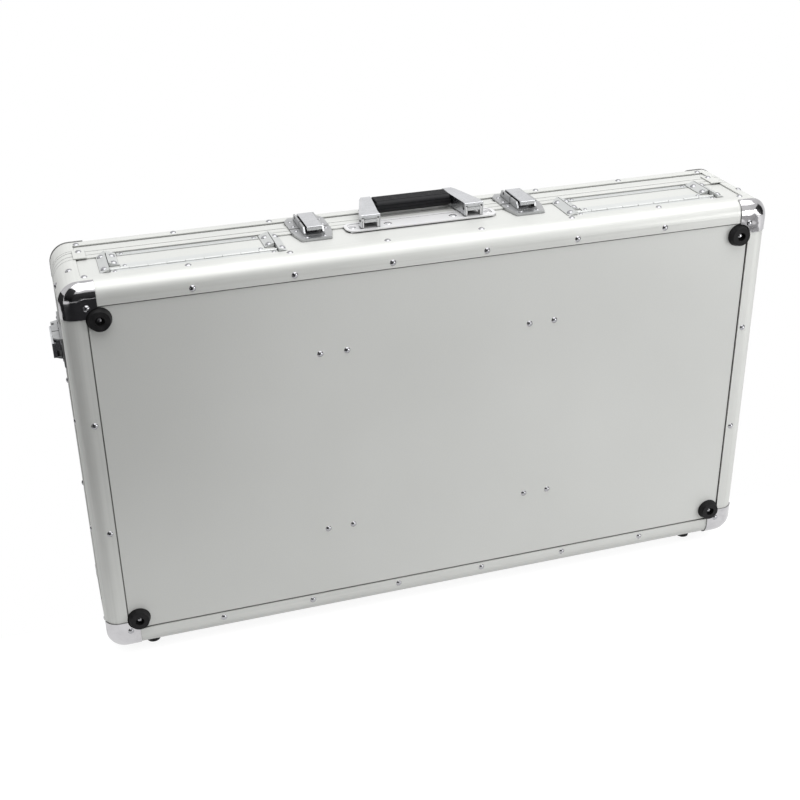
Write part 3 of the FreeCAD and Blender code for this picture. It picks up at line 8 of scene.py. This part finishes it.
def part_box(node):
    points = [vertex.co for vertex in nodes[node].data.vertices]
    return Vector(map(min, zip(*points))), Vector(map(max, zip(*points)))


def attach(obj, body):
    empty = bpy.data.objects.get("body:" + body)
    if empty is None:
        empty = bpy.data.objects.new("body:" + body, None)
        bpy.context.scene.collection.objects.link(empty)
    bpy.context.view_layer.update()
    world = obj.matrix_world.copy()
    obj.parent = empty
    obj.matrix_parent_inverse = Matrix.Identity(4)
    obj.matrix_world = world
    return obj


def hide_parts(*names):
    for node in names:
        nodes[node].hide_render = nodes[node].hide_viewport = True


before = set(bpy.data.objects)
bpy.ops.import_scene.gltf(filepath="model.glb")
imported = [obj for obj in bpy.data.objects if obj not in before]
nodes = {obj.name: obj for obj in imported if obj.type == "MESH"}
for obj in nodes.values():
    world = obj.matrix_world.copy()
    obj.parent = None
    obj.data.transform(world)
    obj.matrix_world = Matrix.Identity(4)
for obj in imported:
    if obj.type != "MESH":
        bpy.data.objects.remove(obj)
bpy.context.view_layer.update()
scene = bpy.context.scene
WHITE = (1.0, 1.0, 1.0, 1.0)

# ---------------------------------------------------------------- materials

# Painted shade: the colours that grooves, joints and rivet feet darken towards, and how far the occlusion
# looks.
GROOVE_SHADE = (84, 84, 82)
FACE_GROOVE_SHADE = (116, 116, 113)
SHADE_REACH = 0.003


def linear(*colour):
    """A colour given as 0 to 255 display values, made linear."""
    out = []
    for channel in colour:
        share = channel / 255.0
        out.append(share / 12.92 if share <= 0.04045 else ((share + 0.055) / 1.055) ** 2.4)
    return tuple(out)


def shifted(tone, step):
    """A display colour made lighter or darker by a step in each channel."""
    return linear(*[channel + step for channel in tone])


class Graph:
    """A node material with short helpers."""

    def __init__(self, name):
        self.material = bpy.data.materials.new(name)
        self.material.use_nodes = True
        self.tree = self.material.node_tree
        self.shader = self.tree.nodes["Principled BSDF"]
        coords = self.tree.nodes.new("ShaderNodeTexCoord")
        self.place = coords.outputs["Object"]

    def node(self, kind, **settings):
        made = self.tree.nodes.new(kind)
        for key, setting in settings.items():
            setattr(made, key, setting)
        return made

    def link(self, start, end):
        self.tree.links.new(start, end)

    def stretched(self, scale):
        """Object coordinates multiplied by a scale along each axis."""
        mapping = self.node("ShaderNodeMapping")
        mapping.inputs["Scale"].default_value = scale
        self.link(self.place, mapping.inputs["Vector"])
        return mapping.outputs["Vector"]

    def noise(self, size, detail=3.0, rough=0.5, where=None, warp=0.0):
        """Noise whose features are about size metres wide."""
        made = self.node("ShaderNodeTexNoise")
        made.inputs["Scale"].default_value = 1.0 / size
        made.inputs["Detail"].default_value = detail
        made.inputs["Roughness"].default_value = rough
        made.inputs["Distortion"].default_value = warp
        self.link(where or self.place, made.inputs["Vector"])
        return made.outputs["Fac"]

    def spread(self, fac, low, high, start=0.3, end=0.7):
        """The range from start to end, spread over low to high."""
        made = self.node("ShaderNodeMapRange")
        made.inputs["From Min"].default_value = start
        made.inputs["From Max"].default_value = end
        made.inputs["To Min"].default_value = low
        made.inputs["To Max"].default_value = high
        self.link(fac, made.inputs["Value"])
        return made.outputs["Result"]

    def mixed(self, fac, first, second):
        """The first colour at 0, the second at 1."""
        made = self.node("ShaderNodeMix", data_type="RGBA")
        for socket, colour in (("A", first), ("B", second)):
            target = [s for s in made.inputs if s.name == socket and s.type == "RGBA"][0]
            if isinstance(colour, (tuple, list)):
                target.default_value = (*colour, 1.0)
            else:
                self.link(colour, target)
        self.link(fac, [s for s in made.inputs if s.name == "Factor" and s.type == "VALUE"][0])
        return [s for s in made.outputs if s.type == "RGBA"][0]

    def maths(self, operation, first, second):
        made = self.node("ShaderNodeMath", operation=operation)
        self.link(first, made.inputs[0])
        self.link(second, made.inputs[1])
        return made.outputs[0]

    def bump(self, height, depth, strength=1.0, below=None):
        """Bump from a 0 to 1 height, depth metres deep."""
        made = self.node("ShaderNodeBump")
        made.inputs["Distance"].default_value = depth
        made.inputs["Strength"].default_value = strength
        self.link(height, made.inputs["Height"])
        if below is not None:
            self.link(below, made.inputs["Normal"])
        return made.outputs["Normal"]

    def painted_groove_shade(self, tint, dark=GROOVE_SHADE):
        """The tint with painted shade: darker where an ambient-occlusion node finds grooves, joints and the
        feet of rivets hidden from light.
        """
        made = self.node("ShaderNodeAmbientOcclusion", samples=8)
        made.inputs["Distance"].default_value = SHADE_REACH
        return self.mixed(self.spread(made.outputs["AO"], 0.0, 1.0, 0.3, 0.75), linear(*dark), tint)

    def finish(self, colour, rough, normal, metallic=0.0, shine=0.5):
        self.link(colour, self.shader.inputs["Base Color"])
        self.link(rough, self.shader.inputs["Roughness"])
        self.link(normal, self.shader.inputs["Normal"])
        self.shader.inputs["Metallic"].default_value = metallic
        self.shader.inputs["Specular IOR Level"].default_value = shine
        return self.material


def silver_board(name, shade=GROOVE_SHADE):
    """Silver laminate: a very fine satin grain with faint cloudiness."""
    tone = (202, 203, 200)
    grain_tone = (180, 181, 181)
    cloud_size = 0.22
    grain_size = 0.0011
    grain_depth = 0.00003
    g = Graph(name)
    cloud = g.noise(cloud_size, 2.0)
    grain = g.noise(grain_size, 2.0, 0.6)
    base = g.mixed(g.spread(cloud, 0, 1), linear(*tone), shifted(tone, 6))
    tint = g.mixed(g.spread(grain, 0.0, 0.16), base, linear(*grain_tone))
    rough = g.spread(grain, 0.46, 0.54)
    normal = g.bump(grain, grain_depth, 0.5)
    # The colour gets painted shade in grooves and joints.
    return g.finish(g.painted_groove_shade(tint, shade), rough, normal, metallic=0.3)


def extruded(name, scale, tone=(205, 206, 203)):
    """Anodised extrusion with die lines along its length."""
    cloud_size = 0.09
    line_depth = 0.000012
    g = Graph(name)
    lines = g.noise(1.0, 3.0, 0.6, g.stretched(scale))
    cloud = g.noise(cloud_size, 3.0)
    base = g.mixed(g.spread(cloud, 0, 1), linear(*tone), shifted(tone, 6))
    tint = g.mixed(g.spread(lines, 0.0, 0.22), base, shifted(tone, -24))
    rough = g.spread(lines, 0.42, 0.52)
    normal = g.bump(lines, line_depth, 0.4)
    # The colour gets painted shade in grooves and joints.
    return g.finish(g.painted_groove_shade(tint), rough, normal, metallic=0.35)


def plated(name, tone, low, high, wave=0.0):
    """Bright plating with faint handling marks; wave is how deep the pressed sheet's ripples are."""
    smear_size = 0.02
    fine_size = 0.0016
    fine_depth = 0.000012
    wave_size = 0.016
    g = Graph(name)
    smear = g.noise(smear_size, 4.0, 0.6, warp=0.6)
    fine = g.noise(fine_size, 3.0, 0.6)
    tint = g.mixed(g.spread(smear, 0, 1), linear(*tone), shifted(tone, -14))
    rough = g.maths("ADD", g.spread(smear, low, high), g.spread(fine, 0.0, 0.03))
    normal = g.bump(fine, fine_depth, 0.4)
    if wave:
        normal = g.bump(g.noise(wave_size, 1.0), wave, 1.0, normal)
    # The colour gets painted shade in grooves and joints.
    return g.finish(g.painted_groove_shade(tint), rough, normal, metallic=1.0)


def rubber(name):
    """Dull black rubber with a little dust."""
    dust_size = 0.006
    pore_size = 0.0009
    pore_depth = 0.00005
    g = Graph(name)
    dust = g.noise(dust_size, 4.0, 0.65)
    tint = g.mixed(g.spread(dust, 0, 1, 0.45, 0.75), linear(15, 15, 16), linear(34, 33, 34))
    rough = g.spread(dust, 0.5, 0.68)
    normal = g.bump(g.noise(pore_size, 2.0), pore_depth, 0.6)
    return g.finish(tint, rough, normal, shine=0.2)


def grip_plastic(name):
    """Black grip with a soft sheen."""
    mottle_size = 0.004
    pore_size = 0.0007
    pore_depth = 0.00003
    g = Graph(name)
    mottle = g.noise(mottle_size, 3.0)
    tint = g.mixed(g.spread(mottle, 0, 1), linear(14, 14, 16), linear(26, 26, 29))
    rough = g.spread(mottle, 0.4, 0.52)
    normal = g.bump(g.noise(pore_size, 2.0), pore_depth, 0.5)
    return g.finish(tint, rough, normal, shine=0.2)


def board(name):
    """Black painted deck board with a faint grain."""
    grain_depth = 0.0001
    g = Graph(name)
    grain = g.noise(1.0, 4.0, 0.6, g.stretched((6, 90, 220)))
    tint = g.mixed(g.spread(grain, 0, 1), linear(38, 37, 36), linear(58, 56, 54))
    return g.finish(tint, g.spread(grain, 0.5, 0.7), g.bump(grain, grain_depth, 0.4))


def pile(name, dark, light, size):
    """Cloth pile or open foam: small tufts of two tones."""
    tuft_depth = 0.0006
    g = Graph(name)
    tufts = g.node("ShaderNodeTexVoronoi")
    tufts.inputs["Scale"].default_value = 1.0 / size
    g.link(g.place, tufts.inputs["Vector"])
    fuzz = g.noise(size * 0.6, 3.0, 0.7)
    both = g.maths("MULTIPLY", tufts.outputs["Distance"], fuzz)
    tint = g.mixed(g.spread(both, 0, 1, 0.05, 0.4), linear(*dark), linear(*light))
    normal = g.bump(both, tuft_depth, 0.7)
    return g.finish(tint, g.spread(fuzz, 0.85, 0.98), normal)


LENGTHWAYS = (3, 420, 420)
DEPTHWAYS = (420, 3, 420)
UPWAYS = (420, 420, 3)

# Each finish and the nodes that wear it.
FINISHES = [
    (silver_board("silver_board"),
     ["base_front_wall", "base_rear_wall", "base_left_wall", "base_right_wall",
      "lid_front_wall", "lid_rear_wall", "lid_left_wall", "lid_right_wall",
      "flap_left_panel", "flap_right_panel"]),
    (silver_board("silver_face", FACE_GROOVE_SHADE), ["base_panel", "lid_panel"]),
    (extruded("extrusion_long", LENGTHWAYS),
     ["base_long_edges", "base_closing_profile", "lid_long_edges", "lid_closing_profile"]),
    (extruded("extrusion_short", UPWAYS), ["base_short_edges", "lid_short_edges"]),
    (extruded("corner_post", DEPTHWAYS), ["base_corner_posts", "lid_corner_posts", "lid_corner_clips"]),
    (extruded("flap_jamb", DEPTHWAYS, (188, 190, 189)),
     ["flap_jambs", "flap_left_frame", "flap_right_frame"]),
    (extruded("flap_hinge", LENGTHWAYS, (198, 200, 199)),
     ["flap_fixed_leaves", "flap_left_leaf", "flap_right_leaf", "flap_hinge_pins"]),
    (extruded("handle_plate", LENGTHWAYS, (214, 214, 215)), ["handle_plate"]),
    (plated("cap_chrome", (190, 189, 191), 0.05, 0.12, wave=0.0012), ["base_corner_caps", "lid_corner_caps"]),
    (plated("rivet_metal", (168, 168, 171), 0.14, 0.24),
     ["base_rivets", "lid_rivets", "flap_left_rivets", "flap_right_rivets"]),
    (plated("screw_steel", (150, 150, 152), 0.2, 0.32),
     ["base_foot_screws", "lid_foot_screws", "deck_brackets"]),
    (plated("handle_screw_steel", (206, 206, 208), 0.16, 0.28), ["handle_screws"]),
    (plated("latch_chrome", (208, 209, 212), 0.14, 0.26),
     ["latch_lever_front_left", "latch_lever_front_right", "latch_lever_left", "latch_lever_right"]),
    (plated("latch_plate_zinc", (186, 187, 188), 0.3, 0.44), ["latch_strikes", "latch_plates"]),
    (plated("handle_chrome", (212, 213, 216), 0.16, 0.28),
     ["handle_arm_left", "handle_arm_right", "handle_rod"]),
    # Dark steel; on the latch pins its dark tone also stands in for the shade beneath the latch levers.
    (plated("pivot_steel_and_painted_shade", (92, 92, 94), 0.3, 0.44), ["latch_pins", "handle_pivots"]),
    (plated("hinge_steel", (188, 189, 192), 0.24, 0.36),
     ["hinge_base_leaves", "hinge_lid_leaves", "hinge_pins"]),
    (rubber("rubber_black"), ["base_feet", "base_rear_feet", "lid_rear_feet"]),
    (grip_plastic("grip_black"), ["handle_grip"]),
    (board("deck_black"), ["pedal_deck"]),
    (pile("loop_cloth", (20, 20, 22), (52, 52, 56), 0.0022), ["deck_loop_cover"]),
]

for finish, names in FINISHES:
    for name in names:
        mesh = nodes[name].data
        mesh.materials.clear()
        mesh.materials.append(finish)

# ---------------------------------------------------------------- foam pad

PAD_STEP = 0.006
PAD_EDGE = 0.008
PAD_CORNER = 0.021
WAVE_PITCH = 0.036
WAVE_DEPTH = 0.006
FOAM_CELL = 0.003
FOAM = pile("foam_grey", (28, 28, 31), (62, 62, 66), FOAM_CELL)


def pad_outline(x, z, half_x, half_z):
    """A point kept inside the pad's rounded corners, and how far it is from the pad's edge."""
    over_x = abs(x) - (half_x - PAD_CORNER)
    over_z = abs(z) - (half_z - PAD_CORNER)
    if over_x > 0 and over_z > 0:
        reach = math.hypot(over_x, over_z)
        if reach > PAD_CORNER:
            over_x *= PAD_CORNER / reach
            over_z *= PAD_CORNER / reach
            reach = PAD_CORNER
        x = math.copysign(half_x - PAD_CORNER + over_x, x)
        z = math.copysign(half_z - PAD_CORNER + over_z, z)
        return x, z, PAD_CORNER - reach
    return x, z, min(half_x - abs(x), half_z - abs(z))


def pad_depth(x, z, inner):
    """How far the free face lies below the pad's highest point: waves, and a rounded edge."""
    turn = 2 * math.pi / WAVE_PITCH
    wave = 0.5 - 0.5 * math.cos(turn * x) * math.cos(turn * z)
    short = max(0.0, PAD_EDGE - inner)
    fall = PAD_EDGE - math.sqrt(PAD_EDGE ** 2 - short ** 2)
    fade = min(1.0, inner / (2 * PAD_EDGE))
    return max(fall, WAVE_DEPTH * wave * fade)


def foam_pad():
    """Profiled foam in the lid: soft waves on its free face, a rounded edge and flat sides and back."""
    low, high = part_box("lid_foam")
    half_x = (high.x - low.x) / 2
    half_z = (high.z - low.z) / 2
    middle = (low + high) / 2
    columns = round(2 * half_x / PAD_STEP)
    rows = round(2 * half_z / PAD_STEP)
    shape = bmesh.new()
    face_points = []
    for column in range(columns + 1):
        across = half_x * (2 * column / columns - 1)
        line = []
        for row in range(rows + 1):
            x, z, inner = pad_outline(across, half_z * (2 * row / rows - 1), half_x, half_z)
            line.append(shape.verts.new((middle.x + x, low.y + pad_depth(x, z, inner), middle.z + z)))
        face_points.append(line)
    for column in range(columns):
        for row in range(rows):
            shape.faces.new((face_points[column][row], face_points[column + 1][row],
                             face_points[column + 1][row + 1], face_points[column][row + 1]))
    rim = [edge for edge in shape.edges if edge.is_boundary]
    pulled = bmesh.ops.extrude_edge_only(shape, edges=rim)["geom"]
    for point in pulled:
        if isinstance(point, bmesh.types.BMVert):
            point.co.y = high.y
    back_rim = [edge for edge in pulled if isinstance(edge, bmesh.types.BMEdge)]
    bmesh.ops.contextual_create(shape, geom=back_rim)
    bmesh.ops.recalc_face_normals(shape, faces=shape.faces)
    mesh = bpy.data.meshes.new("foam_pad")
    shape.to_mesh(mesh)
    shape.free()
    mesh.polygons.foreach_set("use_smooth", [len(face.vertices) == 4 for face in mesh.polygons])
    mesh.materials.append(FOAM)
    pad = bpy.data.objects.new("foam_pad", mesh)
    scene.collection.objects.link(pad)
    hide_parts("lid_foam")
    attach(pad, "lid")


foam_pad()

# ---------------------------------------------------------------- camera

CASE_MIDDLE = 0.06645
CASE_LIFT = 0.2315
TURN = Vector((2.03107, -0.31840, 0.17035))
SHIFT = Vector((50.76, 22.98, 1417.39)) / 1000.0
FOCAL_PX = 1277.4
CENTRE_PX = (394.9, 405.4)
IMAGE_PX = 800.0
SENSOR_MM = 36.0

world_to_camera = Matrix.Rotation(TURN.length, 3, TURN.normalized())
spot = -(world_to_camera.transposed() @ SHIFT)
spot += Vector((0.0, -CASE_MIDDLE, CASE_LIFT))
facing = world_to_camera.transposed() @ Matrix(((1, 0, 0), (0, -1, 0), (0, 0, -1)))
lens = bpy.data.cameras.new("camera")
lens.sensor_fit = "HORIZONTAL"
lens.sensor_width = SENSOR_MM
lens.lens = FOCAL_PX / IMAGE_PX * SENSOR_MM
lens.shift_x = (IMAGE_PX / 2 - CENTRE_PX[0]) / IMAGE_PX
lens.shift_y = (CENTRE_PX[1] - IMAGE_PX / 2) / IMAGE_PX
lens.clip_start = 0.05
lens.clip_end = 50.0
camera = bpy.data.objects.new("camera", lens)
camera.matrix_world = Matrix.Translation(spot) @ facing.to_4x4()
scene.collection.objects.link(camera)
scene.camera = camera

# ---------------------------------------------------------------- studio

AMBIENT_LOW = 0.02
AMBIENT_RISE = 1.3
FLOOR_GREY = (0.25, 0.25, 0.25, 1.0)
FLOOR_GLOW = 0.86
FLOOR_HALF = 6.0
# The floor ends under the base's rim, so that the opened lid hangs down past it.
FLOOR_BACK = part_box("base_closing_profile")[1].y
CARD_BLACK = (0.01, 0.01, 0.012, 1.0)
CARD_FLOOR = 0.004


def maths_node(tree, operation, second=None):
    """A maths node; second is its second number, where that isn't linked."""
    made = tree.nodes.new("ShaderNodeMath")
    made.operation = operation
    if second is not None:
        made.inputs[1].default_value = second
    return made


def background_share(tree):
    """1 where the camera, or a mirror or glass, looks straight at the background."""
    path = tree.nodes.new("ShaderNodeLightPath")
    total = path.outputs["Is Camera Ray"]
    for ray in ("Is Glossy Ray", "Is Transmission Ray"):
        added = maths_node(tree, "MAXIMUM")
        tree.links.new(total, added.inputs[0])
        tree.links.new(path.outputs[ray], added.inputs[1])
        total = added.outputs[0]
    return total


def studio_world():
    """Ambient light that rises towards the zenith, with a white background."""
    world = bpy.data.worlds.new("studio")
    world.use_nodes = True
    scene.world = world
    tree = world.node_tree
    tree.nodes.clear()
    sky = tree.nodes.new("ShaderNodeTexCoord")
    split = tree.nodes.new("ShaderNodeSeparateXYZ")
    above = maths_node(tree, "MAXIMUM", 0.0)
    graded = maths_node(tree, "MULTIPLY_ADD", AMBIENT_RISE)
    graded.inputs[2].default_value = AMBIENT_LOW
    ambient = tree.nodes.new("ShaderNodeBackground")
    ambient.inputs["Color"].default_value = WHITE
    tree.links.new(sky.outputs["Generated"], split.inputs[0])
    tree.links.new(split.outputs["Z"], above.inputs[0])
    tree.links.new(above.outputs[0], graded.inputs[0])
    tree.links.new(graded.outputs[0], ambient.inputs["Strength"])
    shown = tree.nodes.new("ShaderNodeBackground")
    shown.inputs["Color"].default_value = WHITE
    mix = tree.nodes.new("ShaderNodeMixShader")
    out = tree.nodes.new("ShaderNodeOutputWorld")
    tree.links.new(background_share(tree), mix.inputs["Fac"])
    tree.links.new(ambient.outputs[0], mix.inputs[1])
    tree.links.new(shown.outputs[0], mix.inputs[2])
    tree.links.new(mix.outputs[0], out.inputs["Surface"])


def floor_paint():
    """Matt floor that looks white to the camera and keeps a faint shadow."""
    material = bpy.data.materials.new("floor_white")
    material.use_nodes = True
    tree = material.node_tree
    tree.nodes.clear()
    matt = tree.nodes.new("ShaderNodeBsdfDiffuse")
    matt.inputs["Color"].default_value = FLOOR_GREY
    glow = tree.nodes.new("ShaderNodeEmission")
    glow.inputs["Color"].default_value = WHITE
    level = maths_node(tree, "MULTIPLY", FLOOR_GLOW)
    tree.links.new(background_share(tree), level.inputs[0])
    tree.links.new(level.outputs[0], glow.inputs["Strength"])
    both = tree.nodes.new("ShaderNodeAddShader")
    tree.links.new(matt.outputs[0], both.inputs[0])
    tree.links.new(glow.outputs[0], both.inputs[1])
    out = tree.nodes.new("ShaderNodeOutputMaterial")
    tree.links.new(both.outputs[0], out.inputs["Surface"])
    return material


def stage_card(name, corners, material):
    """A flat four-cornered sheet that belongs to the studio."""
    mesh = bpy.data.meshes.new(name)
    mesh.from_pydata(corners, [], [(0, 1, 2, 3)])
    mesh.materials.append(material)
    item = bpy.data.objects.new(name, mesh)
    scene.collection.objects.link(item)
    return item


def flat_corners(left, right, front, back, height):
    return [(left, front, height), (right, front, height), (right, back, height), (left, back, height)]


def lamp(name, spot, target, size, power):
    """Soft rectangular lamp aimed at a point."""
    data = bpy.data.lights.new(name, "AREA")
    data.shape = "RECTANGLE"
    data.size, data.size_y = size
    data.energy = power
    item = bpy.data.objects.new(name, data)
    item.location = spot
    item.rotation_euler = (Vector(target) - Vector(spot)).to_track_quat("-Z", "Y").to_euler()
    scene.collection.objects.link(item)


def flag(name, corners):
    """Black studio card that only mirror rays meet: it casts no shadow and shows in no view."""
    item = stage_card(name, corners, black)
    item.visible_camera = False
    item.visible_shadow = False
    item.visible_diffuse = False


studio_world()
stage_card("floor", flat_corners(-FLOOR_HALF, FLOOR_HALF, -FLOOR_HALF, FLOOR_BACK, 0.0), floor_paint())
lamp("lamp_top", spot=(0.3, -0.5, 2.4), target=(0.0, 0.0, 0.3), size=(3.0, 2.2), power=43.0)
lamp("lamp_right", spot=(1.45, -1.25, 0.45), target=(0.2, 0.0, 0.2), size=(0.8, 0.7), power=12.0)

black = bpy.data.materials.new("flag_black")
black.use_nodes = True
black.node_tree.nodes["Principled BSDF"].inputs["Base Color"].default_value = CARD_BLACK
flag("flag_front", [(-2.4, -2.4, 0.05), (0.7, -2.4, 0.05), (0.7, -2.4, 1.7), (-2.4, -2.4, 1.7)])
flag("flag_left", [(-2.4, -0.9, 0.3), (-1.4, -2.2, 0.3), (-0.6, -1.6, 2.2), (-1.6, -0.3, 2.2)])
flag("flag_right", flat_corners(0.45, 0.85, -1.5, -0.6, CARD_FLOOR))
flag("flag_far", flat_corners(0.95, 1.3, -2.1, -0.6, CARD_FLOOR))
flag("flag_side", [(1.5, -1.2, 0.2), (1.5, -0.1, 0.2), (1.5, -0.1, 1.2), (1.5, -1.2, 1.2)])
flag("flag_end", [(-1.5, -0.4, 0.0), (-1.9, 1.2, 0.0), (-1.9, 1.2, 0.9), (-1.5, -0.4, 0.9)])
flag("flag_floor", [(-2.2, -2.4, CARD_FLOOR), (0.1, -2.4, CARD_FLOOR), (-0.1, -0.45, CARD_FLOOR),
                    (-2.2, 0.6, CARD_FLOOR)])

scene.view_settings.view_transform = "Standard"
